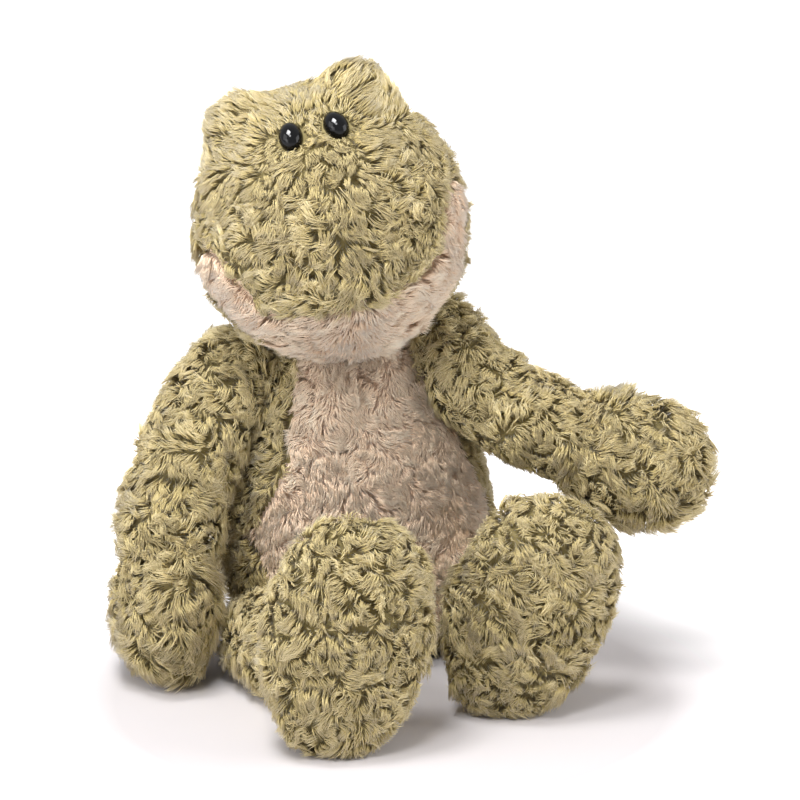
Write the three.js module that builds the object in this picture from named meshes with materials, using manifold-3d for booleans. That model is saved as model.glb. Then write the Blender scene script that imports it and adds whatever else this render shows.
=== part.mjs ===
// A sitting plush frog, sewn from long pile fabric, with stuffed body, head, arms and legs.
// Millimetres. +Z is up, the body faces -Y, and +X is the toy's own left.
// The origin lies on the flat patch that the toy sits on.
import * as THREE from 'three';
import { mergeVertices } from 'three/addons/utils/BufferGeometryUtils.js';
import Module from 'manifold-3d';

const wasm = await Module();
wasm.setup();

// Body
const bodyWidth = 124;
const bodyDepth = 104;
const bodyHeight = 143;
const bodySway = 12; // how far the top leans towards the toy's own right
const seatOffset = 3; // how far left of the origin the lean starts
const flatDepth = 0.5; // how deep the resting places are pressed flat
const pouchHeight = 24; // top of the pellet pouch in the seat
const bellyBottom = 8; // lowest point of the belly panel

// Neck
const neckHeight = 118;
const neckForward = 0.5;
const neckRadius = 36;
const neckOpening = 17; // radius of the opening that the neck's stuffing fills
const neckPlugDepth = 24;
const neckPlugEdge = 3;

// Head
const headWidth = 111;
const headCrown = 60.5; // from the head's middle up to the crown
const headChin = 58;
const headFront = 55;
const headBack = 50;
const headRise = 200;
const headForward = 22;
const headAside = 15; // towards the toy's own right
const headTurn = -8; // degrees towards the toy's own left
const headTilt = -16;
const headPitch = -10; // the face looks slightly up
const chinFrontAngle = -35; // mouth seam, seen about the line from cheek to cheek
const chinBackAngle = -106; // seam behind the chin
const crownAngle = 92; // seam between the face and the back of the head
const browSpread = 22;
const browAngle = 76;
const browRadius = 19;
const browDistance = 46; // from the head's middle to the middle of a brow

// Eyes
const eyeWidth = 10;
const eyeHeight = 12;
const eyeDome = 5;
const eyeSpread = 10; // half of the distance between the eyes
const eyeAside = 3.5; // from the face's middle seam towards the toy's own left
const eyeAngle = 45;
const eyeSink = 1; // how deep the rim of the dome lies in the pile
const shankRadius = 2;
const washerRadius = 6;
const washerThickness = 1.6;

// Arms and hands
const armLength = 82;
const armRadius = 19.5;
const armSwell = 0.6;
const armBend = 45; // degrees between the two ends of an arm
const shoulderHeight = 134;
const shoulderSpread = 44;
const shoulderRise = 3.8; // of the left shoulder, and the drop of the right one
const handLength = 67;
const handWidth = 53;
const handThickness = 39;
const handSet = 25.5; // from the wrist to the middle of the mitt
const wristBall = 15;

// Legs and feet
const legLength = 67.5;
const legRadius = 20;
const legSwell = 0.8;
const legBend = 8;
const hipHeight = 20.5;
const hipSpread = 50;
const hipForward = 30;
const hipTwist = 11; // the right hip lies this far ahead of the middle, the left one behind
const footLength = 101;
const footWidth = 68;
const footThickness = 39;
const footSet = 20; // from the ankle forward to the middle of the foot
const ankleBall = 15;

// Fabric and clearances
const pile = 7; // backing and pile of the fabric, as it lies
const seamGap = 0.3; // between two panels at a seam
const liningGap = 0.3; // between the fabric and what it holds
const socketGap = 0.35; // between a rounded root and its socket
const swingGap = 3.6; // between the body and an arm that swings past it
const overrun = 20; // how far a cutting shape reaches past what it cuts
const reach = 400; // half size of the largest cutting block

// Pose of each limb in degrees. A heading turns from the front towards the toy's own left,
// a dip leans below the level, a lean tips a foot towards the toy's own left, and a rock tips
// its toes back.
const sides = {
  right: {
    sign: -1,
    hipStep: 1,
    arm: { heading: -54.4, dip: 55 },
    hand: { heading: -44.6, dip: 83.9 },
    palm: { heading: 96, dip: 0 },
    leg: { heading: 14, dip: -1.2 },
    foot: { heading: -8, lean: 10, rock: 6 },
    swingRange: [-30, 35],
    bendRange: [-8, 25],
    raiseRange: [-4, 14],
    ankleRange: [-10, 8],
  },
  left: {
    sign: 1,
    hipStep: -1,
    arm: { heading: 38.8, dip: 23 },
    hand: { heading: 66, dip: 16 },
    palm: { heading: -21, dip: -6 },
    leg: { heading: 0.2, dip: -1.2 },
    foot: { heading: -4, lean: 17, rock: -6 },
    swingRange: [-25, 22],
    bendRange: [-20, 25],
    raiseRange: [-4, 14],
    ankleRange: [-10, 8],
  },
};

// Facets
const bodySides = 20;
const headSides = 18;
const headRings = 10;
const limbSides = 12;
const limbRings = 3;
const padSides = 12;
const rootRings = 2;
const padRings = 6;
const ballSides = 10;
const neckSides = 24;
const plugSides = 12;
const turnedSides = 10;
const domeSteps = 3;
const swingSides = 12;
const swingSteps = 4;
const fewestSides = 6;
const insideShare = 0.35; // surfaces that the fabric hides have this share of the facets

// Outlines as shares
// Body: share of the height, then share of the half width and half depth.
const pearShares = [
  [0, 0.5], [0.035, 0.7], [0.1, 0.86], [0.2, 0.965], [0.34, 1], [0.5, 0.985],
  [0.62, 0.94], [0.73, 0.86], [0.82, 0.765], [0.9, 0.68], [0.955, 0.54], [0.99, 0.3],
];
// Belly panel: share of the half width, then share of the way from its bottom to the shoulders.
const bellyShares = [[0, 0], [0.36, 0.04], [0.66, 0.2], [0.8, 0.45], [0.76, 0.72], [0.62, 1]];
const headRoundShare = 0.92; // below one, the cheeks are fuller than a sphere's
const handRoundShare = 0.72;
const handFullShare = 0.08;
const footRoundShare = 0.8;
const footFullShare = 0.06;
const neckShare = 0.75; // a pad's neck beside the ball at its root

const X = new THREE.Vector3(1, 0, 0);
const Y = new THREE.Vector3(0, 1, 0);
const Z = new THREE.Vector3(0, 0, 1);
const origin = new THREE.Vector3();
const radians = THREE.MathUtils.degToRad;
const quarter = Math.PI / 2;

// Finishes
function plush(color) {
  return new THREE.MeshStandardMaterial({ color, roughness: 0.95, metalness: 0 });
}
function glossy(color, roughness) {
  return new THREE.MeshStandardMaterial({ color, roughness, metalness: 0 });
}
const greenPlush = () => plush(0xb3aa78);
const pinkPlush = () => plush(0xd9bfb0);
const fibreFilling = () => plush(0xf3f1ea);
const pelletFilling = () => plush(0xe4e2da);
const eyeBlack = () => glossy(0x0b0b0c, 0.12);
const washerWhite = () => glossy(0xdedede, 0.5);

// A closed geometry as a solid that can be joined and cut, with its faces turned outwards.
function solidOf(geometry) {
  const bare = new THREE.BufferGeometry();
  bare.setAttribute('position', geometry.getAttribute('position').clone());
  if (geometry.index) bare.setIndex(geometry.index.clone());
  const merged = mergeVertices(bare);
  const position = merged.getAttribute('position');
  const triangles = new Uint32Array(merged.index.array);
  const [a, b, c] = [new THREE.Vector3(), new THREE.Vector3(), new THREE.Vector3()];
  let volume = 0;
  for (let k = 0; k < triangles.length; k += 3) {
    a.fromBufferAttribute(position, triangles[k]);
    b.fromBufferAttribute(position, triangles[k + 1]);
    c.fromBufferAttribute(position, triangles[k + 2]);
    volume += a.dot(b.cross(c));
  }
  if (volume < 0) triangles.reverse();
  const vertProperties = new Float32Array(position.array);
  return new wasm.Manifold(new wasm.Mesh({ numProp: 3, vertProperties, triVerts: triangles }));
}

// A solid's surface, measured from the given point.
function geometryOf(solid, from) {
  const mesh = solid.getMesh();
  const geometry = new THREE.BufferGeometry();
  geometry.setAttribute('position', new THREE.BufferAttribute(new Float32Array(mesh.vertProperties), 3));
  geometry.setIndex(new THREE.BufferAttribute(new Uint32Array(mesh.triVerts), 1));
  geometry.translate(-from.x, -from.y, -from.z);
  geometry.computeVertexNormals();
  return geometry;
}

// Number of facets of a surface, which is lower inside the fabric.
function facets(count, inset) {
  return inset > 0 ? Math.max(fewestSides, 2 * Math.round((count * insideShare) / 2)) : count;
}

function joined(solids) {
  return solids.reduce((sum, solid) => sum.add(solid));
}

function without(solid, cutters) {
  return cutters.reduce((rest, cutter) => rest.subtract(cutter), solid);
}

// A closed skin over a row of rings. The first and the last ring are single points.
function loft(rings) {
  const count = rings[1].length;
  const last = rings.length - 1;
  const start = (k) => (k === 0 ? 0 : 1 + (k - 1) * count);
  const positions = rings.flat().flatMap((p) => [p.x, p.y, p.z]);
  const index = [];
  for (let j = 0; j < count; j += 1) {
    const next = (j + 1) % count;
    index.push(0, start(1) + next, start(1) + j);
    index.push(start(last), start(last - 1) + j, start(last - 1) + next);
    for (let k = 1; k < last - 1; k += 1) {
      index.push(start(k) + j, start(k) + next, start(k + 1) + next);
      index.push(start(k) + j, start(k + 1) + next, start(k + 1) + j);
    }
  }
  const geometry = new THREE.BufferGeometry();
  geometry.setAttribute('position', new THREE.Float32BufferAttribute(positions, 3));
  geometry.setIndex(index);
  return geometry;
}

// A ring of points about a centre, spanned by two half axes.
function ringAt(centre, across, along, count) {
  return Array.from({ length: count }, (_, j) => {
    const turn = (2 * Math.PI * j) / count;
    return centre.clone().addScaledVector(across, Math.cos(turn)).addScaledVector(along, Math.sin(turn));
  });
}

// A turned shape about Z from a profile of radius and height, starting and ending on the axis.
function turnedShape(profile, count) {
  const points = profile.map(([radius, height]) => new THREE.Vector2(radius, height));
  return new THREE.LatheGeometry(points, count).rotateX(quarter);
}

function ballAt(centre, radius, count) {
  return solidOf(new THREE.SphereGeometry(radius, count, Math.ceil(count / 2)).translate(...centre));
}

// A ball whose facets all lie outside the given radius, which cuts a socket.
function socketAt(centre, radius, count) {
  return ballAt(centre, (radius + socketGap) / Math.cos(Math.PI / count) ** 2, count);
}

// Everything on the side of a plane that its normal points to.
function beyond(point, normal) {
  const block = new THREE.BoxGeometry(2 * reach, 2 * reach, reach).translate(0, 0, reach / 2);
  block.applyQuaternion(new THREE.Quaternion().setFromUnitVectors(Z, normal.clone().normalize()));
  return solidOf(block.translate(...point));
}

// A plane's two sides, parted by the gap of a seam.
function seamSides(point, normal) {
  return [1, -1].map((sign) => {
    const side = normal.clone().multiplyScalar(sign);
    return beyond(point.clone().addScaledVector(side, seamGap / 2), side);
  });
}

function aim({ heading, dip }) {
  const level = Math.cos(radians(dip));
  const [turn, drop] = [radians(heading), Math.sin(radians(dip))];
  return new THREE.Vector3(Math.sin(turn) * level, -Math.cos(turn) * level, -drop);
}

// A frame at a point whose -Z runs along the direction and whose X leans towards the side.
function frameAlong(at, direction, side) {
  const zAxis = direction.clone().negate();
  const yAxis = zAxis.clone().cross(side).normalize();
  return new THREE.Matrix4().makeBasis(yAxis.clone().cross(zAxis), yAxis, zAxis).setPosition(at);
}

function axisOf(frame, axis) {
  return axis.clone().transformDirection(frame);
}

function pointOf(frame, x, y, z) {
  return new THREE.Vector3(x, y, z).applyMatrix4(frame);
}

// Direction in which the far end of a limb points.
function limbEnd(frame, size) {
  const half = radians(size.bend / 2);
  return axisOf(frame, new THREE.Vector3(-Math.sin(half), 0, -Math.cos(half)));
}

// Sizes of the limbs and pads, and places of the joints

const arm = { length: armLength, radius: armRadius, swell: armSwell, bend: armBend };
const leg = { length: legLength, radius: legRadius, swell: legSwell, bend: legBend };
const hand = {
  length: handLength, width: handThickness, thickness: handWidth, round: handRoundShare, full: -handFullShare,
};
const foot = {
  length: footLength, width: footWidth, thickness: footThickness, round: footRoundShare, full: footFullShare,
};

// Middle of the body's level section at a height. The body bends more the higher it gets.
function bodyMiddle(height) {
  return new THREE.Vector3(seatOffset - bodySway * (height / bodyHeight) ** 2, 0, height);
}

const neckPivot = bodyMiddle(neckHeight).addScaledVector(Y, -neckForward);
const headMiddle = new THREE.Vector3(-headAside, -headForward, headRise);
const headEuler = new THREE.Euler(radians(headPitch), radians(headTilt), radians(headTurn), 'ZYX');
const headFrame = new THREE.Matrix4().makeRotationFromEuler(headEuler).setPosition(headMiddle);

for (const side of Object.values(sides)) {
  side.shoulder = bodyMiddle(shoulderHeight).addScaledVector(X, side.sign * shoulderSpread)
    .addScaledVector(Z, side.sign * shoulderRise);
  side.wrist = side.shoulder.clone().addScaledVector(aim(side.arm), armLength);
  side.armFrame = frameAlong(side.shoulder, aim(side.arm), aim(side.arm).sub(aim(side.hand)));
  side.handFrame = frameAlong(side.wrist, aim(side.hand), aim(side.palm));
  side.mittFrame = frameAlong(pointOf(side.handFrame, 0, 0, -handSet), aim(side.hand), aim(side.palm));
  side.hip = bodyMiddle(hipHeight).addScaledVector(X, side.sign * hipSpread)
    .addScaledVector(Y, -hipForward - side.hipStep * hipTwist);
  side.ankle = side.hip.clone().addScaledVector(aim(side.leg), legLength);
  side.legFrame = frameAlong(side.hip, aim(side.leg), Z);
  const { heading, lean, rock } = side.foot;
  const footEuler = new THREE.Euler(-radians(rock), radians(lean), radians(heading), 'ZYX');
  side.footFrame = new THREE.Matrix4().makeRotationFromEuler(footEuler).setPosition(side.ankle);
  side.raiseAxis = aim(side.leg).cross(Z).normalize();
  side.armEnd = limbEnd(side.armFrame, arm);
  side.legEnd = limbEnd(side.legFrame, leg);
  side.bendAxis = axisOf(side.handFrame, Y).projectOnPlane(side.armEnd).normalize();
  side.ankleAxis = axisOf(side.footFrame, X).projectOnPlane(side.legEnd).normalize().negate();
}

// Pear: level sections that follow the body's outline.
function pearShape(inset, count, shares = pearShares) {
  const [bottom, top] = [inset - flatDepth, bodyHeight - inset];
  const rings = shares.map(([heightShare, sizeShare]) => {
    const across = X.clone().multiplyScalar((bodyWidth / 2 - inset) * sizeShare);
    const along = Y.clone().multiplyScalar((bodyDepth / 2 - inset) * sizeShare);
    const middle = bodyMiddle(bottom + (top - bottom) * heightShare);
    return ringAt(middle, across, along, count);
  });
  return loft([[bodyMiddle(bottom)], ...rings, [bodyMiddle(top)]]);
}

// Body: the pear, with a ball for the neck.
function bodyForm(inset) {
  const pear = solidOf(pearShape(inset, facets(bodySides, inset)));
  return pear.add(ballAt(neckPivot, neckRadius - inset, facets(neckSides, inset)));
}

// The belly panel's outline, run through the front of the body.
function bellyCut(grow) {
  const span = shoulderHeight - bellyBottom;
  const half = bellyShares.map(([widthShare, heightShare]) => {
    const height = bellyBottom + span * heightShare;
    return new THREE.Vector2((bodyWidth / 2) * widthShare, height);
  });
  const curve = new THREE.SplineCurve(half).getPoints(2 * half.length);
  const edge = curve.map((p) => new THREE.Vector2(p.x + grow, p.y - grow));
  edge[0].x = 0;
  const top = bodyHeight + overrun;
  edge.push(new THREE.Vector2(edge[edge.length - 1].x, top));
  const lean = (p, sign) => new THREE.Vector2(bodyMiddle(p.y).x + sign * p.x, p.y);
  const right = edge.slice(1).reverse().map((p) => lean(p, -1));
  const outline = new THREE.Shape([...right, ...edge.map((p) => lean(p, 1))]);
  const cut = new THREE.ExtrudeGeometry(outline, { depth: bodyDepth, bevelEnabled: false, steps: 1 });
  return solidOf(cut.rotateX(quarter).translate(0, grow - neckForward, 0));
}

// Neck plug: firm stuffing in the neck opening, round about the upright line it turns on.
function neckPlug(grow) {
  const radius = grow > 0 ? (neckOpening + grow) / Math.cos(Math.PI / plugSides) : neckOpening;
  const bottom = neckRadius - neckPlugDepth - grow;
  const top = neckRadius + overrun;
  const profile = [
    [0, bottom], [radius - neckPlugEdge, bottom], [radius, bottom + neckPlugEdge], [radius, top], [0, top],
  ];
  return solidOf(turnedShape(profile, plugSides).translate(...neckPivot));
}

// Head: rings about the line from cheek to cheek, with brows above the eyes.
function headForm(inset) {
  const half = headWidth / 2 - inset;
  const [count, steps] = [facets(headSides, inset), facets(headRings, inset)];
  const ring = (polar) => Array.from({ length: count }, (_, j) => {
    const turn = (2 * Math.PI * j) / count;
    const size = Math.sin(polar) ** headRoundShare;
    const depth = (Math.cos(turn) > 0 ? headFront : headBack) - inset;
    const rise = (Math.sin(turn) > 0 ? headCrown : headChin) - inset;
    return pointOf(headFrame, half * Math.cos(polar), -size * depth * Math.cos(turn), size * rise * Math.sin(turn));
  });
  const rings = [[pointOf(headFrame, half, 0, 0)]];
  for (let k = 1; k < steps; k += 1) rings.push(ring((Math.PI * k) / steps));
  rings.push([pointOf(headFrame, -half, 0, 0)]);
  const angle = radians(browAngle);
  const brows = [1, -1].map((sign) => {
    const [y, z] = [-browDistance * Math.cos(angle), browDistance * Math.sin(angle)];
    return ballAt(pointOf(headFrame, sign * browSpread, y, z), browRadius - inset, facets(ballSides, inset));
  });
  return joined([solidOf(loft(rings)), ...brows]);
}

// The part of the head between two seams that run from cheek to cheek.
function headBetween(solid, fromAngle, toAngle) {
  const towards = (degrees) => {
    const angle = radians(degrees);
    return axisOf(headFrame, new THREE.Vector3(0, Math.sin(angle), Math.cos(angle)));
  };
  const [up] = seamSides(headMiddle, towards(fromAngle));
  const [, down] = seamSides(headMiddle, towards(toAngle));
  return solid.intersect(up).intersect(down);
}

// Eyes: an oval dome on the face, with a shank through the fabric and a washer behind it.
function eyeFrame(sign) {
  const angle = radians(eyeAngle);
  const aside = sign * eyeSpread + eyeAside;
  const level = Math.sqrt(1 - (aside / (headWidth / 2)) ** 2);
  const at = new THREE.Vector3(
    aside,
    -level * headFront * Math.cos(angle),
    level * headCrown * Math.sin(angle),
  );
  const out = new THREE.Vector3(at.x / headWidth ** 2, at.y / (2 * headFront) ** 2, at.z / (2 * headCrown) ** 2)
    .normalize();
  const up = out.clone().cross(X).normalize();
  at.addScaledVector(out, -eyeSink);
  return headFrame.clone().multiply(new THREE.Matrix4().makeBasis(up.clone().cross(out), up, out).setPosition(at));
}

function eye(sign, grow) {
  const radius = eyeHeight / 2 + grow;
  const profile = [[0, -grow], [radius, -grow]];
  for (let k = 0; k < domeSteps; k += 1) {
    const angle = quarter * (k / domeSteps);
    profile.push([radius * Math.cos(angle), (eyeDome + grow) * Math.sin(angle)]);
  }
  if (grow === 0) profile.splice(1, 1);
  profile.push([0, eyeDome + grow]);
  const cap = turnedShape(profile, turnedSides).scale((eyeWidth / 2 + grow) / radius, 1, 1);
  const end = eyeSink - pile - washerThickness - 2 * liningGap - grow;
  const shaft = shankRadius + grow;
  const shank = turnedShape([[0, end], [shaft, end], [shaft, eyeDome / 2], [0, eyeDome / 2]], turnedSides);
  const frame = eyeFrame(sign);
  return solidOf(cap.applyMatrix4(frame)).add(solidOf(shank.applyMatrix4(frame)));
}

function eyeWasher(sign, grow) {
  const top = eyeSink - pile - liningGap + grow;
  const bottom = top - washerThickness - 2 * grow;
  const rim = washerRadius + grow;
  const disc = turnedShape([[0, bottom], [rim, bottom], [rim, top], [0, top]], turnedSides);
  return solidOf(disc.applyMatrix4(eyeFrame(sign)));
}

// Limb: round sections along an arc, with a ball about its pivot as its root. The chord
// runs along the frame's -Z, and the arc bulges towards its X.
function limbForm(frame, size, inset) {
  const half = radians(size.bend / 2);
  const arcRadius = size.length / (2 * Math.sin(half));
  const radius = size.radius - inset;
  const place = (turn) => new THREE.Vector3(
    arcRadius * (Math.cos(turn) - Math.cos(half)),
    0,
    -size.length / 2 - arcRadius * Math.sin(turn),
  );
  const heading = (turn) => new THREE.Vector3(-Math.sin(turn), 0, -Math.cos(turn));
  const steps = facets(limbRings, inset);
  const round = (centre, direction, r) => {
    const across = Y.clone().cross(direction).multiplyScalar(r);
    return ringAt(centre, across, Y.clone().multiplyScalar(r), facets(limbSides, inset));
  };
  const start = heading(-half);
  const rings = [[start.clone().multiplyScalar(-radius)]];
  for (let k = 1; k <= rootRings; k += 1) {
    const angle = (quarter * k) / (rootRings + 1);
    rings.push(round(start.clone().multiplyScalar(-radius * Math.cos(angle)), start, radius * Math.sin(angle)));
  }
  for (let k = 0; k <= steps; k += 1) {
    const share = k / steps;
    const turn = half * (2 * share - 1);
    rings.push(round(place(turn), heading(turn), radius + size.swell * Math.sin(Math.PI * share)));
  }
  const tip = place(half).addScaledVector(heading(half), overrun);
  rings.push(round(tip, heading(half), radius), [tip.clone().addScaledVector(heading(half), overrun)]);
  rings.forEach((ring) => ring.forEach((p) => p.applyMatrix4(frame)));
  return solidOf(loft(rings));
}

// Pad: an egg about a frame's origin with wide, flat sections along Z, for hands and feet.
function padRows(frame, size, inset) {
  const [count, steps] = [facets(padSides, inset), facets(padRings, inset)];
  const rings = [];
  for (let k = 0; k <= steps; k += 1) {
    const polar = (Math.PI * k) / steps;
    const middle = Z.clone().multiplyScalar((size.length / 2 - inset) * Math.cos(polar));
    const fullness = Math.sin(polar) ** size.round * (1 + size.full * Math.cos(polar));
    const across = X.clone().multiplyScalar((size.width / 2 - inset) * fullness);
    const along = Y.clone().multiplyScalar((size.thickness / 2 - inset) * fullness);
    const isPole = k === 0 || k === steps;
    rings.push(isPole ? [middle] : ringAt(middle, across, along, count));
  }
  rings.forEach((ring) => ring.forEach((p) => p.applyMatrix4(frame)));
  return rings;
}

function padForm(frame, size, inset) {
  return solidOf(loft(padRows(frame, size, inset)));
}

// Room for the limb that holds a piece, or that it holds, through the range of the joint
// between them: a rounded fan from the pivot, with a roof-shaped end across the limb's end.
function jointRoom(pivot, direction, axis, range, radius, gap) {
  const [from, to] = range.map(radians);
  const half = Math.abs(to - from) / 2;
  const ahead = direction.clone().applyAxisAngle(axis, (from + to) / 2);
  const across = axis.clone().cross(ahead);
  const flat = (radius + gap) / Math.cos(half);
  const wide = flat / Math.cos(Math.PI / limbSides);
  const outline = [1, -1].flatMap((sign) => {
    const arc = Array.from({ length: limbSides / 2 }, (_, j) => {
      const turn = (Math.PI * (2 * j + 1)) / limbSides;
      return [sign * wide * Math.cos(turn), sign * wide * Math.sin(turn)];
    });
    return [[sign * flat, 0], ...arc];
  });
  const place = (level, rise, distance) => pivot.clone().addScaledVector(axis, level)
    .addScaledVector(across, rise).addScaledVector(ahead, distance);
  const spread = Math.tan(half);
  const fan = legLength * spread;
  const roof = outline.map(([level, rise]) => place(level, rise, -gap - Math.abs(rise) * spread));
  const end = outline.map(([level, rise]) => place(level, rise + Math.sign(rise) * fan, legLength));
  return solidOf(loft([[place(0, 0, -gap)], roof, end, [place(0, 0, legLength)]]));
}


// Each foot stands on the floor, with its lowest point pressed flat.
for (const side of Object.values(sides)) {
  side.soleFrame = side.footFrame.clone().setPosition(pointOf(side.footFrame, 0, -footSet, 0));
  const lowest = Math.min(...padRows(side.soleFrame, foot, 0).flat().map((p) => p.z));
  side.soleFrame.premultiply(new THREE.Matrix4().makeTranslation(0, 0, -lowest - flatDepth));
}

// A ball about a pivot, with a short neck that runs ahead into the pad it belongs to.
function rootOf(pivot, frame, ahead, size, length, inset) {
  const [radius, count] = [size - inset, facets(ballSides, inset)];
  const neck = new THREE.CylinderGeometry(radius * neckShare, radius * neckShare, length, count)
    .translate(0, length / 2, 0)
    .applyQuaternion(new THREE.Quaternion().setFromUnitVectors(Y, ahead))
    .applyMatrix4(frame);
  return ballAt(pivot, radius, count).add(solidOf(neck));
}

function armForm(side, inset) {
  const whole = limbForm(side.armFrame, arm, inset).subtract(swingRoom(side, inset));
  return whole.add(ballAt(side.shoulder, armRadius - inset, facets(ballSides, inset)));
}

function handForm(side, inset) {
  const mitt = padForm(side.mittFrame, hand, inset);
  const behind = side.armEnd.clone().negate();
  const range = side.bendRange.map((degrees) => -degrees);
  const room = jointRoom(side.wrist, behind, side.bendAxis, range, armRadius, socketGap + inset);
  return mitt.subtract(room).add(rootOf(side.wrist, side.handFrame, Z.clone().negate(), wristBall, handSet, inset));
}

function footForm(side, inset) {
  const pad = padForm(side.soleFrame, foot, inset);
  const behind = side.legEnd.clone().negate();
  const range = side.ankleRange.map((degrees) => -degrees);
  const room = jointRoom(side.ankle, behind, side.ankleAxis, range, legRadius, socketGap + inset);
  return pad.subtract(room).add(rootOf(side.ankle, side.footFrame, Y.clone().negate(), ankleBall, footSet, inset));
}

// Room in the body for the root of a leg through the range of its hip.
function legRoom(side) {
  const bulge = (legLength / 2) * Math.tan(radians(legBend / 4));
  const radius = legRadius + legSwell + bulge;
  const room = jointRoom(side.hip, aim(side.leg), side.raiseAxis, side.raiseRange, radius, socketGap);
  return room.add(socketAt(side.hip, legRadius, limbSides));
}

// Room for the body beside an arm through the range of its shoulder: pears turned about the
// level line through the shoulder.
function swingRoom(side, inset) {
  const [low, high] = side.swingRange;
  const { x, y, z } = side.shoulder;
  const shares = pearShares.filter((_, k) => k % 2 === 0);
  return joined(Array.from({ length: swingSteps + 1 }, (_, k) => {
    const turn = radians(low + ((high - low) * k) / swingSteps);
    const pear = pearShape(-swingGap - inset, swingSides, shares).translate(-x, -y, -z).rotateX(turn);
    return solidOf(pear.translate(x, y, z));
  }));
}

// Pieces, gathered in groups that stand at their pivots

const floor = beyond(origin, Z.clone().negate());
const insides = { skin: pile, filling: pile + liningGap };

function meshOf(name, solid, material, from) {
  const mesh = new THREE.Mesh(geometryOf(solid, from), material);
  mesh.name = name;
  return mesh;
}

function groupAt(pivot, parentPivot) {
  const group = new THREE.Group();
  group.position.copy(pivot).sub(parentPivot);
  return group;
}

const outerBody = bodyForm(0).subtract(floor);
const limbRooms = Object.values(sides).flatMap((side) => [legRoom(side), socketAt(side.shoulder, armRadius, limbSides)]);
const bodyCuts = [...limbRooms, neckPlug(liningGap)];

function buildBody() {
  const group = new THREE.Group();
  const skin = without(outerBody, [bodyForm(insides.skin), ...bodyCuts]);
  const filling = without(bodyForm(insides.filling), bodyCuts);
  const pouchTop = new THREE.Vector3(0, 0, pouchHeight);
  const [above, below] = seamSides(pouchTop, Z);
  group.add(
    meshOf('back_panel', skin.subtract(bellyCut(seamGap)), greenPlush(), origin),
    meshOf('belly_panel', skin.intersect(bellyCut(0)), pinkPlush(), origin),
    meshOf('body_stuffing', filling.intersect(above), fibreFilling(), origin),
    meshOf('seat_pouch', filling.intersect(below), pelletFilling(), origin),
  );
  return group;
}

function buildNeck() {
  const group = groupAt(neckPivot, origin);
  const plug = neckPlug(0).intersect(ballAt(neckPivot, neckRadius, neckSides));
  group.add(meshOf('neck_plug', plug, fibreFilling(), neckPivot));
  return group;
}

function buildHead() {
  const group = groupAt(neckPivot, neckPivot);
  const socket = socketAt(neckPivot, neckRadius, neckSides);
  const eyeRooms = [1, -1].flatMap((sign) => [eye(sign, liningGap), eyeWasher(sign, liningGap)]);
  const skin = without(headForm(0), [headForm(insides.skin), socket, ...eyeRooms]);
  const filling = without(headForm(insides.filling), [socket, ...eyeRooms]);
  const face = headBetween(skin, chinFrontAngle, crownAngle);
  const [left, right] = seamSides(headMiddle, axisOf(headFrame, X));
  group.add(
    meshOf('face_panel_left', face.intersect(left), greenPlush(), neckPivot),
    meshOf('face_panel_right', face.intersect(right), greenPlush(), neckPivot),
    meshOf('head_back_panel', headBetween(skin, crownAngle, chinBackAngle + 360), greenPlush(), neckPivot),
    meshOf('chin_panel', headBetween(skin, chinBackAngle, chinFrontAngle), pinkPlush(), neckPivot),
    meshOf('head_stuffing', filling, fibreFilling(), neckPivot),
  );
  for (const [name, { sign }] of Object.entries(sides)) {
    group.add(
      meshOf(`eye_${name}`, eye(sign, 0), eyeBlack(), neckPivot),
      meshOf(`eye_washer_${name}`, without(eyeWasher(sign, 0), [eye(sign, liningGap)]), washerWhite(), neckPivot),
    );
  }
  return group;
}

function buildArm(name, side) {
  const group = groupAt(side.shoulder, origin);
  const cuts = [beyond(side.wrist, side.armEnd), socketAt(side.wrist, wristBall, ballSides)];
  const skin = without(armForm(side, 0), [armForm(side, insides.skin), ...cuts]);
  const filling = without(armForm(side, insides.filling), cuts);
  const [front, back] = seamSides(side.shoulder, axisOf(side.armFrame, Y));
  group.add(
    meshOf(`arm_${name}_front_panel`, skin.intersect(side.sign > 0 ? back : front), greenPlush(), side.shoulder),
    meshOf(`arm_${name}_back_panel`, skin.intersect(side.sign > 0 ? front : back), greenPlush(), side.shoulder),
    meshOf(`arm_${name}_stuffing`, filling, fibreFilling(), side.shoulder),
    buildHand(name, side),
  );
  return group;
}

function buildHand(name, side) {
  const group = groupAt(side.wrist, side.shoulder);
  const skin = without(handForm(side, 0), [handForm(side, insides.skin), floor]);
  const filling = handForm(side, insides.filling);
  const [palm, back] = seamSides(side.wrist, axisOf(side.handFrame, X));
  group.add(
    meshOf(`hand_${name}_palm_panel`, skin.intersect(palm), greenPlush(), side.wrist),
    meshOf(`hand_${name}_back_panel`, skin.intersect(back), greenPlush(), side.wrist),
    meshOf(`hand_${name}_stuffing`, filling, pelletFilling(), side.wrist),
  );
  return group;
}

function buildLeg(name, side) {
  const group = groupAt(side.hip, origin);
  const cuts = [beyond(side.ankle, side.legEnd), socketAt(side.ankle, ankleBall, ballSides), floor];
  const skin = without(limbForm(side.legFrame, leg, 0), [limbForm(side.legFrame, leg, insides.skin), ...cuts]);
  const filling = without(limbForm(side.legFrame, leg, insides.filling), cuts);
  const [inner, outer] = seamSides(side.hip, axisOf(side.legFrame, Y));
  group.add(
    meshOf(`leg_${name}_inner_panel`, skin.intersect(side.sign > 0 ? outer : inner), greenPlush(), side.hip),
    meshOf(`leg_${name}_outer_panel`, skin.intersect(side.sign > 0 ? inner : outer), greenPlush(), side.hip),
    meshOf(`leg_${name}_stuffing`, filling, fibreFilling(), side.hip),
    buildFoot(name, side),
  );
  return group;
}

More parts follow.
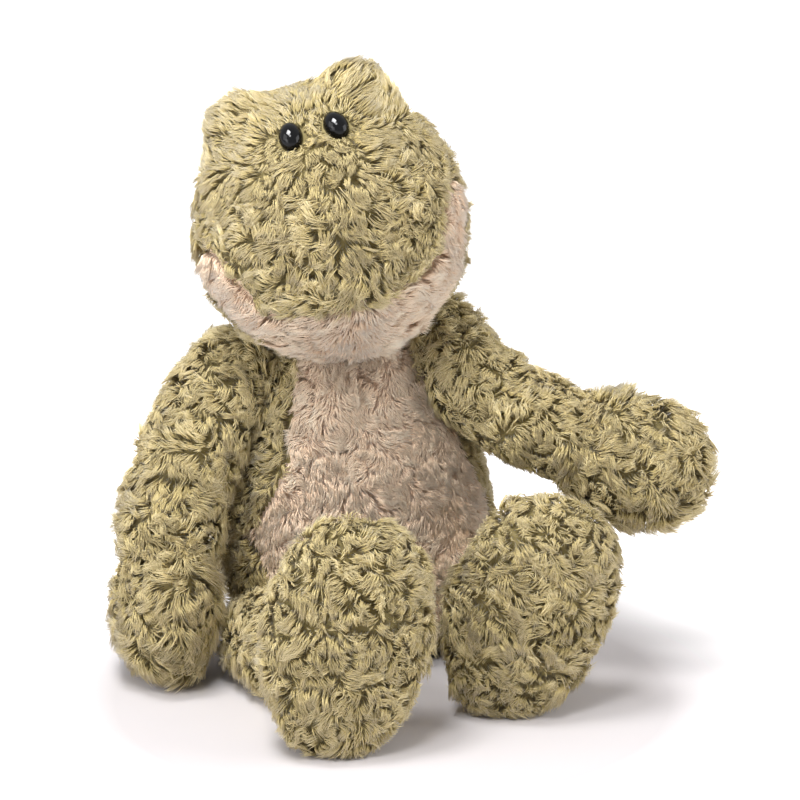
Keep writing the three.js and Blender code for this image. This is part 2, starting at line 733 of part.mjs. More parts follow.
function buildFoot(name, side) {
  const group = groupAt(side.ankle, side.hip);
  const skin = without(footForm(side, 0), [footForm(side, insides.skin), floor]);
  const filling = footForm(side, insides.filling);
  const [instep, sole] = seamSides(pointOf(side.soleFrame, 0, 0, 0), axisOf(side.footFrame, Y));
  group.add(
    meshOf(`foot_${name}_sole_panel`, skin.intersect(sole), greenPlush(), side.ankle),
    meshOf(`foot_${name}_instep_panel`, skin.intersect(instep), greenPlush(), side.ankle),
    meshOf(`foot_${name}_stuffing`, filling, pelletFilling(), side.ankle),
  );
  return group;
}

function buildFrog() {
  const body = buildBody();
  const neck = buildNeck();
  neck.add(buildHead());
  body.add(neck);
  for (const [name, side] of Object.entries(sides)) body.add(buildArm(name, side), buildLeg(name, side));
  return body;
}

export default buildFrog();
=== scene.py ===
# %% [markdown]
# # A seated plush frog, stuffed and combed
#
# The real toy is cut from two knitted fabrics with a pile: a long olive green one,
# and a short pale pink one for the chin and the belly. The cut panels are sewn
# inside out, turned, and filled with fibre and a few pellets.
#
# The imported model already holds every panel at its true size, with the joints that
# let the toy move. This script keeps that frame and dresses it: smooth stuffed
# skins, then the pile, fibre by fibre, then the eyes, the light and the camera.

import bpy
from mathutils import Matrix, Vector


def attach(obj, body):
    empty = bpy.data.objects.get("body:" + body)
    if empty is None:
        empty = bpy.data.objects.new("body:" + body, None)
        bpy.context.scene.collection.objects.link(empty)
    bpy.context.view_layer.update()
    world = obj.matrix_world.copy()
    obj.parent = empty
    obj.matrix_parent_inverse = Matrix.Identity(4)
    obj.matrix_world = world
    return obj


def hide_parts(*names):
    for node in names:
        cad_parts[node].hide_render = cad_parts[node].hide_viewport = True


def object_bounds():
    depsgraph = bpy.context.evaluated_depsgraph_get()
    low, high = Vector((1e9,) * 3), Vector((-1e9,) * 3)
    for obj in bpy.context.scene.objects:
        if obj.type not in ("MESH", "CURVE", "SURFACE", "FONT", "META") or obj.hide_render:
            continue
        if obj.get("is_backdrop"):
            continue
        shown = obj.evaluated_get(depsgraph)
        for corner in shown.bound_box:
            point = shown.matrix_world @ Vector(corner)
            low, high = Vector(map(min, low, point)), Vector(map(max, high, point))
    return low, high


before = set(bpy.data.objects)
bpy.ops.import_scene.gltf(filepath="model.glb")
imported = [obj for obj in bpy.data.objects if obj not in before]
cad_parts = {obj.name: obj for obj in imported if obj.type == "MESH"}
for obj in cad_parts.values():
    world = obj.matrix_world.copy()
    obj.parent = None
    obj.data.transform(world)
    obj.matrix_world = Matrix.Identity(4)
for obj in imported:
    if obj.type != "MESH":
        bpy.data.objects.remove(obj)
solid_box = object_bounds()
print("nodes in the packed model:", len(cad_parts))

# %% Bring in numpy and Blender
import math

import bpy
import numpy as np
from mathutils import Vector

MM = 0.001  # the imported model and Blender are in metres, and the patterns are in millimetres
scene = bpy.context.scene


def put_in_scene(name, data):
    """A new object that shows this data."""
    piece = bpy.data.objects.new(name, data)
    scene.collection.objects.link(piece)
    return piece


print("the solids reach from", [round(v, 3) for v in solid_box[0]], "to", [round(v, 3) for v in solid_box[1]])

# %% [markdown]
# ## The camera
#
# The photograph was taken a little from the toy's right and from above, with a long
# lens, because the far hand is hardly smaller than the near one. The camera stands
# where that view comes from, and its lens gives the toy the same size in the frame.

# %% Camera
camera_data = bpy.data.cameras.new("camera")
camera_data.lens = 148.5
camera_data.sensor_width = 36
camera = put_in_scene("camera", camera_data)
camera.location = (-0.3217, -1.3748, 0.5183)
camera_target = Vector((0.0271, 0.0242, 0.1049))
camera.rotation_euler = (camera_target - camera.location).to_track_quat("-Z", "Y").to_euler()
scene.camera = camera
print("the camera is", round((camera_target - camera.location).length, 2), "m away")

# %% [markdown]
# ## Nodes and colours
#
# Every material below is a small tree of nodes. One helper adds a node, sets its
# options and joins its sockets. Another turns a colour that is read off a screen
# into the linear light that the renderer works in.

# %% Helpers for materials
def linear(code):
    """A screen colour as linear light: c / 12.92 below 0.04045, else ((c + 0.055) / 1.055) ^ 2.4."""
    screen = np.array([int(code[i:i + 2], 16) / 255 for i in (1, 3, 5)])
    light = np.where(screen < 0.04045, screen / 12.92, ((screen + 0.055) / 1.055) ** 2.4)
    return (*light.tolist(), 1.0)


def add(tree, kind, sockets=None, **options):
    """Add one node, set its options, and give each named socket a value or another node's output."""
    node = tree.nodes.new(kind)
    for name, value in options.items():
        setattr(node, name, value)
    for name, value in (sockets or {}).items():
        if isinstance(value, bpy.types.NodeSocket):
            tree.links.new(value, node.inputs[name])
        else:
            node.inputs[name].default_value = value
    return node


def colour_ramp(tree, factor, stops):
    """The colour at a factor, through these pairs of position and colour code."""
    node = add(tree, "ShaderNodeValToRGB", {0: factor})
    ramp = node.color_ramp
    while len(ramp.elements) < len(stops):
        ramp.elements.new(1.0)
    for element, (position, code) in zip(ramp.elements, stops):
        element.position = position
        element.color = linear(code)
    return node.outputs["Color"]


def new_material(name):
    """An empty material with its output node."""
    material = bpy.data.materials.new(name)
    material.use_nodes = True
    material.node_tree.nodes.clear()
    return material, material.node_tree, add(material.node_tree, "ShaderNodeOutputMaterial")


print("olive in linear light:", [round(v, 3) for v in linear("#A59B69")[:3]])

# %% [markdown]
# ## The floor and the light
#
# The toy sits on a white sweep in a studio, between two large soft lamps.
# Smaller ones hang above it and in front, and one stands low before its right side. So
# its sides and the top of its head are bright, its middle and the soles of its feet are
# darker, and the shadows lie beside the feet. One more lamp shows in reflections only:
# it is the glint in the eyes.
#
# The floor has the plain white of such a sweep. Away from the toy it also glows, for the
# camera and for reflections alone, which keeps the shadow and leaves the light on the
# toy as it is.

# %% Floor
SHADOW_MIDDLE = (0.0, -0.07, 0)  # m, on the floor between the seat and the feet
GLOW_START, GLOW_FULL = 0.12, 0.2  # m from there
FLOOR_HALF = 6.0  # m


def seen_directly(tree):
    """1 on a ray from the camera, off a gloss or through glass, and 0 on one that lights the toy."""
    rays = add(tree, "ShaderNodeLightPath").outputs
    seen = rays["Is Camera Ray"]
    for other in ("Is Glossy Ray", "Is Transmission Ray"):
        seen = add(tree, "ShaderNodeMath", {0: seen, 1: rays[other]}, operation="MAXIMUM").outputs[0]
    return seen


sweep, tree, output = new_material("white_paper_sweep")
coordinates = add(tree, "ShaderNodeTexCoord")
distance = add(tree, "ShaderNodeVectorMath", {0: coordinates.outputs["Object"], 1: SHADOW_MIDDLE},
               operation="DISTANCE")
far = add(tree, "ShaderNodeMapRange", {"Value": distance.outputs["Value"], "From Min": GLOW_START,
                                       "From Max": GLOW_FULL, "To Min": 0.0, "To Max": 1.0})
glow_strength = add(tree, "ShaderNodeMath", {0: seen_directly(tree), 1: far.outputs[0]},
                    operation="MULTIPLY")
glow = add(tree, "ShaderNodeEmission", {"Color": linear("#FFFFFF"), "Strength": glow_strength.outputs[0]})
paper = add(tree, "ShaderNodeBsdfDiffuse", {"Color": linear("#DAD6D8")})
both = add(tree, "ShaderNodeAddShader", {0: paper.outputs[0], 1: glow.outputs[0]})
tree.links.new(both.outputs[0], output.inputs["Surface"])

floor_mesh = bpy.data.meshes.new("floor")
floor_mesh.from_pydata([(-FLOOR_HALF, -FLOOR_HALF, 0), (FLOOR_HALF, -FLOOR_HALF, 0),
                        (FLOOR_HALF, FLOOR_HALF, 0), (-FLOOR_HALF, FLOOR_HALF, 0)], [], [(0, 1, 2, 3)])
floor_mesh.materials.append(sweep)
floor = put_in_scene("floor", floor_mesh)
floor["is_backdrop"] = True
print("the floor is", 2 * FLOOR_HALF, "m across")

# %% Light
world = bpy.data.worlds.new("studio")
world.use_nodes = True
scene.world = world
tree = world.node_tree
tree.nodes.clear()
output = add(tree, "ShaderNodeOutputWorld")
room = add(tree, "ShaderNodeBackground", {"Color": linear("#F6F4F5"), "Strength": 0.34})
white = add(tree, "ShaderNodeBackground", {"Color": linear("#FFFFFF"), "Strength": 1.0})
chosen = add(tree, "ShaderNodeMixShader", {0: seen_directly(tree), 1: room.outputs[0], 2: white.outputs[0]})
tree.links.new(chosen.outputs[0], output.inputs["Surface"])


def hang_lamp(name, place, aim, energy, size):
    """A soft square lamp at a place in metres that points at another. Its energy is in watts."""
    data = bpy.data.lights.new(name, "AREA")
    data.energy, data.size = energy, size
    lamp = put_in_scene(name, data)
    lamp.location = place
    lamp.rotation_euler = (Vector(aim) - Vector(place)).to_track_quat("-Z", "Y").to_euler()
    return lamp


hang_lamp("overhead_lamp", (-0.28, -0.24, 0.98), (0, -0.05, 0.08), 5.0, size=0.26)
hang_lamp("right_hand_lamp", (-1.2, -0.3, 0.65), (0, 0, 0.12), 7.0, size=0.8)
hang_lamp("low_right_lamp", (-1.0, -0.65, 0.3), (0, -0.05, 0.08), 3.2, size=0.5)
hang_lamp("left_hand_lamp", (1.0, -0.55, 0.42), (0, 0, 0.12), 8.5, size=0.8)
hang_lamp("front_lamp", (-0.36, -0.74, 1.05), (0, -0.03, 0.12), 6.6, size=0.28)
catch_light = hang_lamp("catch_light", (-0.45, -0.32, 1.15), (-0.03, -0.05, 0.245), 36.0, size=0.5)
catch_light.visible_diffuse = False

scene.view_settings.view_transform = "Standard"

# %% [markdown]
# ## How a stuffed form is drawn
#
# Each stuffed form of the toy is a stack of rings: level ones up the body, rings
# about the line from cheek to cheek for the head, rings along a bent path for a limb,
# and rings along a pad's length for a hand or foot. A ring needs one number along the
# stack and one around it, so each form is a function of those two, worked out for the
# whole grid at once.

# %% Helpers for forms
def close_rings(name, rings):
    """A mesh from a grid of rings: four-sided faces between neighbours, and a pole at each end.

    rings has one row for each ring, and its first and last row are single points.
    """
    rows, around = rings.shape[:2]
    inner = rings[1:-1].reshape(-1, 3)
    points = np.vstack([inner, rings[0, :1], rings[-1, :1]])
    row, column = np.meshgrid(np.arange(rows - 3), np.arange(around), indexing="ij")
    here = row * around + column
    beside = row * around + (column + 1) % around
    quads = np.stack([here, beside, beside + around, here + around], -1).reshape(-1, 4)
    first, second = np.arange(around), (np.arange(around) + 1) % around
    last = (rows - 3) * around
    low = np.stack([second, first, np.full(around, len(inner))], -1)
    high = np.stack([first + last, second + last, np.full(around, len(inner) + 1)], -1)
    mesh = bpy.data.meshes.new(name)
    mesh.from_pydata((points * MM).tolist(), [], quads.tolist() + low.tolist() + high.tolist())
    mesh.update()
    return mesh


def even_steps(knots, count):
    """Points at even steps of length along a line through the knots, with its corners eased.

    Each inner point is half itself and half the middle of its two neighbours, four times over.
    """
    knots = np.array(knots, float)
    along = np.concatenate([[0], np.cumsum(np.linalg.norm(np.diff(knots, axis=0), axis=1))])
    at = np.linspace(0, along[-1], count)
    line = np.stack([np.interp(at, along, knots[:, k]) for k in range(knots.shape[1])], -1)
    for _ in range(4):
        line[1:-1] = 0.5 * line[1:-1] + 0.25 * (line[:-2] + line[2:])
    return line


def to_room(points, axes, origin):
    """Local points as places in the room: origin plus each coordinate times its axis."""
    return points @ np.array(axes, float) + np.array(origin, float)


def to_local(points, axes, origin):
    """Places in the room as local points: the reverse of to_room, because the axes are square."""
    return (points - np.array(origin, float)) @ np.array(axes, float).T


def waves(points, length, seed, count=7):
    """Smooth noise around 0: a sum of sine waves in scattered directions, over the root of their number.

    Wave k is sin(2 pi (direction k . point) / length k + phase k), and the lengths lie near length.
    """
    rng = np.random.default_rng(seed)
    directions = rng.normal(size=(count, 3))
    directions /= np.linalg.norm(directions, axis=1, keepdims=True)
    lengths = length * rng.uniform(0.7, 1.5, count)
    phases = rng.uniform(0, 2 * math.pi, count)
    return np.sin(points @ (directions / lengths[:, None]).T * 2 * math.pi + phases).sum(1) / math.sqrt(count)


around_grid = np.linspace(0, 2 * math.pi, 48, endpoint=False)


def ovals(x_half, y_half, height, middle=0):
    """A stack of level ovals from columns of numbers: x = middle + x half cos a, and y = y half sin a."""
    x = middle + x_half * np.cos(around_grid)
    return np.stack([x, y_half * np.sin(around_grid), np.broadcast_to(height, x.shape)], -1)


print("each ring has", len(around_grid), "points")

# %% [markdown]
# ## The body's skin
#
# The body is a pear: flat under the seat, widest a third of the way up, closed by a
# ball at the neck that the head turns on, and leaning a little to the toy's right. It
# is a stack of level ellipses. The skin is the knitted ground of the fabric, so it lies
# 2 mm inside the solid's surface, and the pile that grows on it brings it out again.

# %% Body form
SKIN_DEPTH = 2.0  # mm from the solid's surface to the knitted ground
BODY_HALVES = (62.0, 52.0)
BODY_TOP = 154.0
SPINE_OFFSET, SPINE_SWAY, SWAY_HEIGHT, SHOULDER_LEVEL = 3.0, 12.0, 143.0, 124.0
BODY_RINGS, KNOT_WIDTH = 46, 60  # the rings, and the half width at which they are evenly spaced
BODY_KNOTS = [(0, 0), (.25, 0), (.5, 0), (.7, .033), (.86, .093), (.965, .186), (1, .316), (.985, .465),
              (.94, .576), (.86, .678), (.765, .762), (.69, .835), (.6, .887), (.51, .93), (.4, .965),
              (.22, .993), (0, 1.0)]


def body_middle(height):
    """The spine: offset - sway (height / sway height) ^ 2, and upright above the shoulders."""
    return SPINE_OFFSET - SPINE_SWAY * (np.minimum(height, SHOULDER_LEVEL) / SWAY_HEIGHT) ** 2


def body_rings(inset):
    """Level ellipses whose half axes are a share of the body's, at heights that are a share of its height."""
    scale = [KNOT_WIDTH, BODY_TOP]
    profile = even_steps(np.array(BODY_KNOTS) * scale, BODY_RINGS) / scale
    share, height = profile[:, :1], inset + (BODY_TOP - 2 * inset) * profile[:, 1:]
    x_half, y_half = ((half - inset) * share for half in BODY_HALVES)
    return ovals(x_half, y_half, height, body_middle(height))


def body_depth(points):
    """How far inside the body a place lies, in mm: what its level ellipse leaves, times the half depth."""
    x, y, height = points.T
    knots = np.array(BODY_KNOTS[2:])
    share = np.interp(height / BODY_TOP, knots[:, 1], knots[:, 0], left=-1, right=-1)
    reach = np.hypot((x - body_middle(height)) / BODY_HALVES[0], y / BODY_HALVES[1])
    return (share - reach) * BODY_HALVES[1]


print("body rings:", body_rings(SKIN_DEPTH).shape)

# %% [markdown]
# ## The head's skin
#
# The head is a round cushion that is wider than it is deep, tipped and turned as in the
# photograph, with two low brows where a frog's eyes bulge. Its rings stand upright and
# run from cheek to cheek. Each brow is a ball inside the form, and the surface is pushed
# out to whichever lies further from the middle, eased where they meet.

# %% Head form
HEAD_AXES = [(.9519, -.1338, .2756), (.1845, .9686, -.1669), (-.2446, .2097, .9467)]
HEAD_ORIGIN = (-15, -22, 200)
HEAD_HALF, HEAD_FRONT, HEAD_BACK, HEAD_CROWN, HEAD_CHIN = 55.5, 55.0, 50.0, 60.5, 58.0
HEAD_POWER = 0.92  # 1 would make the head an ellipsoid, and less makes it fuller
BROW_RADIUS, BROW_PLACES, BROW_EASE = 19.0, [(22, -11.1, 44.6), (-22, -11.1, 44.6)], 4.0
CHEEK_START, CHEEK_RUN = 22, 22  # mm from the middle seam, and over how many the cheek grows
CHEEK_ANGLE, CHEEK_SPREAD = -28, 34  # degrees above the nose, and how far the cheek reaches from there
CHEEK_RIGHT, CHEEK_LEFT = 5.0, 2.0  # mm that each cheek stands out


def head_local(points):
    """Places in the room as the head's own coordinates."""
    return to_local(points, HEAD_AXES, HEAD_ORIGIN)


def head_rings(inset):
    """Upright rings from cheek to cheek: x = half cos p, and the ring's size is (sin p) ^ power.

    Below the mouth the cheeks stand out by a smooth bump, more on the toy's right.
    """
    p = np.linspace(0, math.pi, 44)[:, None]
    size = np.sin(p).clip(0) ** HEAD_POWER
    forward, up = np.cos(around_grid), np.sin(around_grid)
    depth = np.where(forward > 0, HEAD_FRONT, HEAD_BACK) - inset
    rise = np.where(up > 0, HEAD_CROWN, HEAD_CHIN) - inset
    x = np.broadcast_to((HEAD_HALF - inset) * np.cos(p), (len(p), len(around_grid)))
    local = np.stack([x, -size * depth * forward, size * rise * up], -1)
    reach = np.linalg.norm(local, axis=-1)
    way = local / reach[..., None]
    for place in BROW_PLACES:
        along = way @ np.array(place, float)
        inside = along ** 2 - np.dot(place, place) + (BROW_RADIUS - inset) ** 2
        ball = np.where((inside > 0) & (along > 0), along + np.sqrt(inside.clip(0)), 0)
        gap = ball - reach
        eased = (gap + BROW_EASE).clip(0) ** 2 / BROW_EASE ** 2
        reach = reach + np.where(gap > -BROW_EASE, eased, 0).clip(None, gap.clip(0) + 1)
    angle = np.degrees(np.arctan2(local[..., 2], -local[..., 1]))
    cheek = (((np.abs(x) - CHEEK_START) / CHEEK_RUN).clip(0, 1)
             * np.exp(-((angle - CHEEK_ANGLE) / CHEEK_SPREAD) ** 2))
    reach = reach + cheek * np.where(x < 0, CHEEK_RIGHT, CHEEK_LEFT)
    return to_room(way * reach[..., None], HEAD_AXES, HEAD_ORIGIN)


def head_depth(points):
    """How far a place lies inside the head, in mm, by the same rings without brows and cheeks."""
    x, y, z = head_local(points).T
    size = (1 - (x / HEAD_HALF).clip(-1, 1) ** 2) ** (HEAD_POWER / 2)
    reach = np.hypot(y / np.where(y < 0, HEAD_FRONT, HEAD_BACK), z / np.where(z > 0, HEAD_CROWN, HEAD_CHIN))
    return (size - reach) * HEAD_FRONT


print("head rings:", head_rings(SKIN_DEPTH).shape)

# %% [markdown]
# ## Limbs, hands and feet
#
# An arm or leg is a soft tube that bulges to one side, sewn into the body at its root,
# and its far end is gathered into the pad. A hand or foot is an egg-shaped pad. All of
# them end in a round closed form that reaches into its neighbour, so that no gap opens
# at a shoulder, wrist, hip or ankle when the toy is posed.

# %% Limb and pad forms
CAP_RINGS, TUBE_RINGS = 8, 17
LIMBS = {
    "arm_right": dict(at=(-51.54, 0, 130.2), length=82, bend=45, radius=19.5, swell=.6,
                      axes=[(-.6873, -.4462, .5732), (.5569, -.8303, .0214), (.4664, .3339, .8192)]),
    "arm_left": dict(at=(36.46, 0, 137.8), length=82, bend=45, radius=19.5, swell=.6,
                     axes=[(-.8107, -.5616, -.1656), (.1007, -.4122, .9055), (-.5768, .7174, .3907)]),
    "leg_right": dict(at=(-47.25, -41, 20.5), length=67.5, bend=8, radius=20, swell=.8,
                      axes=[(-.0051, .0203, .9998), (.9703, .2419, 0), (-.2419, .9701, -.0209)]),
    "leg_left": dict(at=(52.75, -19, 20.5), length=67.5, bend=8, radius=20, swell=.8,
                     axes=[(-.0001, .0209, .9998), (1, .0035, 0), (-.0035, .9998, -.0209)]),
}
PADS = {
    "hand_right": dict(at=(-91.68, -29.31, 37.67), size=(39, 53, 67), round=.72, full=-.08,
                       axes=[(.9917, .0986, -.0819), (-.1043, .9922, -.0677), (.0746, .0757, .9943)]),
    "hand_left": dict(at=(106.15, -68.80, 98.73), size=(39, 53, 67), round=.72, full=-.08,
                      axes=[(-.3751, -.9204, .1104), (.2969, -.0064, .9549), (-.8782, .3910, .2756)]),
    "foot_right": dict(at=(-33.33, -126.23, 48.96), size=(68, 39, 101), round=.8, full=.06,
                       axes=[(.9752, -.1371, -.1736), (.1204, .9874, -.1029), (.1856, .0795, .9794)]),
    "foot_left": dict(at=(50.99, -106.28, 47.53), size=(68, 39, 101), round=.8, full=.06,
                      axes=[(.9540, -.0667, -.2924), (.0999, .9900, .1000), (.2828, -.1246, .9511)]),
}


def limb_rings(limb, inset):
    """Round rings along an arc, closed by half a ball at each end.

    The arc turns through bend over its length. Ring s of 0 to 1 has the radius plus swell sin(pi s),
    and past either end the radius falls as the cosine while the ring moves out as the sine.
    """
    half = math.radians(limb["bend"]) / 2
    turn = limb["length"] / (2 * math.sin(half))
    cap = np.linspace(math.pi / 2, 0, CAP_RINGS + 1)[:-1]
    share = np.concatenate([np.zeros(CAP_RINGS), np.linspace(0, 1, TUBE_RINGS), np.ones(CAP_RINGS)])
    shrink = np.concatenate([np.cos(cap), np.ones(TUBE_RINGS), np.cos(cap[::-1])])
    push = np.concatenate([-np.sin(cap), np.zeros(TUBE_RINGS), np.sin(cap[::-1])])
    t = -half + 2 * half * share
    radius = limb["radius"] - inset + limb["swell"] * np.sin(math.pi * share)
    heading = np.stack([-np.sin(t), 0 * t, -np.cos(t)], -1)
    normal = np.stack([np.cos(t), 0 * t, -np.sin(t)], -1)
    middle = np.stack([turn * (np.cos(t) - math.cos(half)), 0 * t,
                       -limb["length"] / 2 - turn * np.sin(t)], -1) + heading * (push * radius)[:, None]
    ring = (normal[:, None] * np.cos(around_grid)[None, :, None]
            - np.array([0, 1.0, 0]) * np.sin(around_grid)[None, :, None])
    local = middle[:, None] + ring * (radius * shrink)[:, None, None]
    return to_room(local, limb["axes"], limb["at"])


def limb_depth(limb, points):
    """How far a place lies inside a limb: the radius less the distance to the arc."""
    half = math.radians(limb["bend"]) / 2
    turn = limb["length"] / (2 * math.sin(half))
    x, y, z = to_local(points, limb["axes"], limb["at"]).T
    t = np.arctan2(-(z + limb["length"] / 2), x + turn * math.cos(half)).clip(-half, half)
    near = np.stack([turn * (np.cos(t) - math.cos(half)), 0 * t, -limb["length"] / 2 - turn * np.sin(t)], -1)
    return limb["radius"] - np.linalg.norm(np.stack([x, y, z], -1) - near, axis=1)


def pad_rings(pad, inset):
    """Rings along the pad: z = half length cos p, with the fullness (sin p) ^ round (1 + full cos p)."""
    p = np.linspace(math.pi, 0, 36)[:, None]
    width, thickness, length = np.array(pad["size"]) / 2 - inset
    fullness = np.sin(p).clip(0) ** pad["round"] * (1 + pad["full"] * np.cos(p))
    local = ovals(width * fullness, thickness * fullness, length * np.cos(p))
    return to_room(local, pad["axes"], pad["at"])


def pad_depth(pad, points):
    """How far a place lies inside a pad: the share of its ring that is left, times half the thickness."""
    width, thickness, length = np.array(pad["size"]) / 2
    x, y, z = to_local(points, pad["axes"], pad["at"]).T
    cosine = (z / length).clip(-1, 1)
    fullness = np.sqrt(1 - cosine ** 2) ** pad["round"] * (1 + pad["full"] * cosine)
    return (fullness - np.hypot(x / width, y / thickness)) * min(width, thickness)


DEPTHS = {"torso": body_depth, "head": head_depth}
DEPTHS.update({name: lambda points, limb=limb: limb_depth(limb, points) for name, limb in LIMBS.items()})
DEPTHS.update({name: lambda points, pad=pad: pad_depth(pad, points) for name, pad in PADS.items()})
print("stuffed forms:", sorted(DEPTHS))

# %% [markdown]
# ## The finishes of the knitted ground
#
# The ground is a fine knit that is dyed with the pile. It shows only in the creases between the locks, and
# its colour is painted darker, like the pile's dark roots, as painted shade in those creases. The rows of its
# loops are about a millimetre apart, and they are drawn four times as coarse so that they show.

# %% Knitted ground
def knitted_ground(name, dark, light):
    """Warp-knitted polyester ground: matt, with rows of loops, and painted darker than its pile as the shade
    in the creases.
    """
    material, tree, output = new_material(name)
    place = add(tree, "ShaderNodeTexCoord")
    patches = add(tree, "ShaderNodeTexNoise", {"Vector": place.outputs["Object"], "Scale": 140.0,
                                               "Detail": 4.0})
    # dark and light are both painted darker than the pile: painted shade for the creases where the ground
    # shows.
    dye = colour_ramp(tree, patches.outputs["Fac"], [(0.3, dark), (0.7, light)])
    rows = add(tree, "ShaderNodeTexWave", {"Vector": place.outputs["Object"], "Scale": 80.0,
                                           "Distortion": 3.0, "Detail": 2.0}, bands_direction="Z")
    bump = add(tree, "ShaderNodeBump", {"Height": rows.outputs["Fac"], "Strength": 0.6, "Distance": 0.0008})
    cloth = add(tree, "ShaderNodeBsdfPrincipled", {"Base Color": dye,
                                                   "Normal": bump.outputs["Normal"], "Roughness": 0.9,
                                                   "Specular IOR Level": 0.2, "Sheen Weight": 0.2})
    tree.links.new(cloth.outputs[0], output.inputs["Surface"])
    return material


# Each ground is painted darker than its pile's tips, as painted shade for the creases between the locks.
green_ground = knitted_ground("olive_knitted_ground", "#85784B", "#A09263")
pink_ground = knitted_ground("pale_pink_knitted_ground", "#EBCFB4", "#F4DDC6")
print("grounds:", green_ground.name, pink_ground.name)

# %% [markdown]
# ## Stuffing the skins
#
# A sewn skin takes its shape from the filling that presses on it from inside. Blender's
# Cloth does the same: the skin is remeshed into even faces, air pressure swells it for
# twenty frames, and no point may move further than a cap, so that the toy keeps its
# size. Then the shape is kept and the Cloth is taken off.

# %% Stuff and place a skin
SKIN_FACE = 4.5  # mm across each face of a remeshed skin
PRESSURE, FRAMES, LARGEST_MOVE = 4.0, 20, 1.6  # of the filling, its time, and a point's limit in mm
LOWEST_SKIN = 1.2  # mm above the floor


def rows_of(collection, name, kind=float):
    """Three numbers of every item in one of a mesh's collections, as rows."""
    flat = np.empty(3 * len(collection), kind)
    collection.foreach_get(name, flat)
    return flat.reshape(-1, 3)


def apply_modifiers(piece):
    """Keep what the modifiers show, and take them off."""
    graph = bpy.context.evaluated_depsgraph_get()
    mesh = bpy.data.meshes.new_from_object(piece.evaluated_get(graph))
    piece.modifiers.clear()
    piece.data = mesh


def stuff(piece):
    """Swell a skin with Cloth pressure, and cap how far each point moves. Gives the largest move in mm."""
    remesh = piece.modifiers.new("even_faces", "REMESH")
    remesh.mode = "VOXEL"
    remesh.voxel_size = SKIN_FACE * MM
    apply_modifiers(piece)
    before = rows_of(piece.data.vertices, "co")
    cloth = piece.modifiers.new("filling", "CLOTH")
    cloth.settings.use_pressure = True
    cloth.settings.uniform_pressure_force = PRESSURE
    cloth.settings.quality = 5
    cloth.settings.effector_weights.gravity = 0
    for number in range(1, FRAMES + 1):
        scene.frame_set(number)
    apply_modifiers(piece)
    moved = rows_of(piece.data.vertices, "co") - before
    length = np.linalg.norm(moved, axis=1, keepdims=True)
    moved *= np.minimum(1, LARGEST_MOVE * MM / np.maximum(length, 1e-9))
    piece.data.vertices.foreach_set("co", (before + moved).ravel())
    piece.data.update()
    scene.frame_set(1)
    return float(length.max() / MM)


def make_skin(name, rings, body, materials):
    """A stuffed skin from its rings: smooth faces, one material or two, riding on its body."""
    piece = put_in_scene(name, close_rings(name, rings))
    swelled = stuff(piece)
    smoother = piece.modifiers.new("smooth", "SUBSURF")
    smoother.levels = smoother.render_levels = 1
    apply_modifiers(piece)
    piece.data.name = name
    points = rows_of(piece.data.vertices, "co")
    points[:, 2] = np.maximum(points[:, 2], LOWEST_SKIN * MM)
    piece.data.vertices.foreach_set("co", points.ravel())
    piece.data.shade_smooth()
    piece.data.materials.clear()
    for material in materials:
        piece.data.materials.append(material)
    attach(piece, body)
    print(name, "faces", len(piece.data.polygons), "moved", round(swelled, 1), "mm before the cap")
    return piece


skins = {"torso": make_skin("body_skin", body_rings(SKIN_DEPTH), "torso", [green_ground, pink_ground]),
         "head": make_skin("head_skin", head_rings(SKIN_DEPTH), "head", [green_ground, pink_ground])}
for name, limb in LIMBS.items():
    skins[name] = make_skin(name + "_skin", limb_rings(limb, SKIN_DEPTH), name, [green_ground])
for name, pad in PADS.items():
    skins[name] = make_skin(name + "_skin", pad_rings(pad, SKIN_DEPTH), name, [green_ground])

# %% [markdown]
# ## Where the pink fabric lies
#
# The belly panel is a long oval from under the chin to the seat. The chin panel runs
# from the mouth seam under the head to behind the jaw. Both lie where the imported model
# has them, apart from two seams that follow the photograph more closely: the chin's rise
# at the cheeks, and the belly's stand further to the toy's left at the top. The skins
# are painted to match, face by face.

# %% Belly and chin
BELLY_START, BELLY_RUN = 8, 126  # mm above the floor, and upwards from there
BELLY_ASIDE = 7.5  # mm from the spine to the middle line at the chin, to the toy's left
BELLY_KNOTS = np.array([(0, 0), (.04, .36), (.2, .66), (.45, .86), (.72, .61), (1, .5)])
OUTSIDE = 9.0


def belly_share(points):
    """Below 1 inside the belly panel: the distance from its middle line over its half width there.

    The middle line leaves the spine by aside times the square of the way up.
    """
    x, y, z = points.T
    rise = (z - BELLY_START) / BELLY_RUN
    half = BODY_HALVES[0] * np.interp(rise, BELLY_KNOTS[:, 0], BELLY_KNOTS[:, 1], left=0)
    share = np.abs(x - body_middle(z) - BELLY_ASIDE * rise ** 2) / np.maximum(half, 0.1)
    return np.where((y < 0) & (rise < 1.1), share, OUTSIDE)


def head_angle(points):
    """The angle about the line from cheek to cheek, in degrees: 0 is the nose and 90 the crown."""
    x, y, z = head_local(points).T
    depth = np.where(y < 0, HEAD_FRONT, HEAD_BACK)
    rise = np.where(z > 0, HEAD_CROWN, HEAD_CHIN)
    return np.degrees(np.arctan2(z / rise, -y / depth))


def seam_angle(points, level, rise, start, run, power):
    """A seam of the head, in degrees: level + rise ((|x| - start) / run) ^ power, towards the cheeks."""
    x = np.abs(head_local(points)[:, 0])
    return level + rise * ((x - start) / run).clip(0, 1) ** power


def mouth_angle(points):
    """The mouth seam: level under the muzzle, and rising where it reaches the cheeks."""
    return seam_angle(points, level=-36, rise=54, start=33, run=20, power=1.6)


def jaw_angle(points):
    """The seam behind the jaw: well back under the neck, and further forward at the cheeks."""
    return seam_angle(points, level=-106, rise=62, start=20, run=32, power=1.5)


def is_pink(form, points):
    """True where a place on the body or the head lies on the pink fabric."""
    if form == "torso":
        return belly_share(points) < 1
    if form == "head":
        angle = head_angle(points)
        return (angle < mouth_angle(points)) & (angle > jaw_angle(points))
    return np.zeros(len(points), bool)


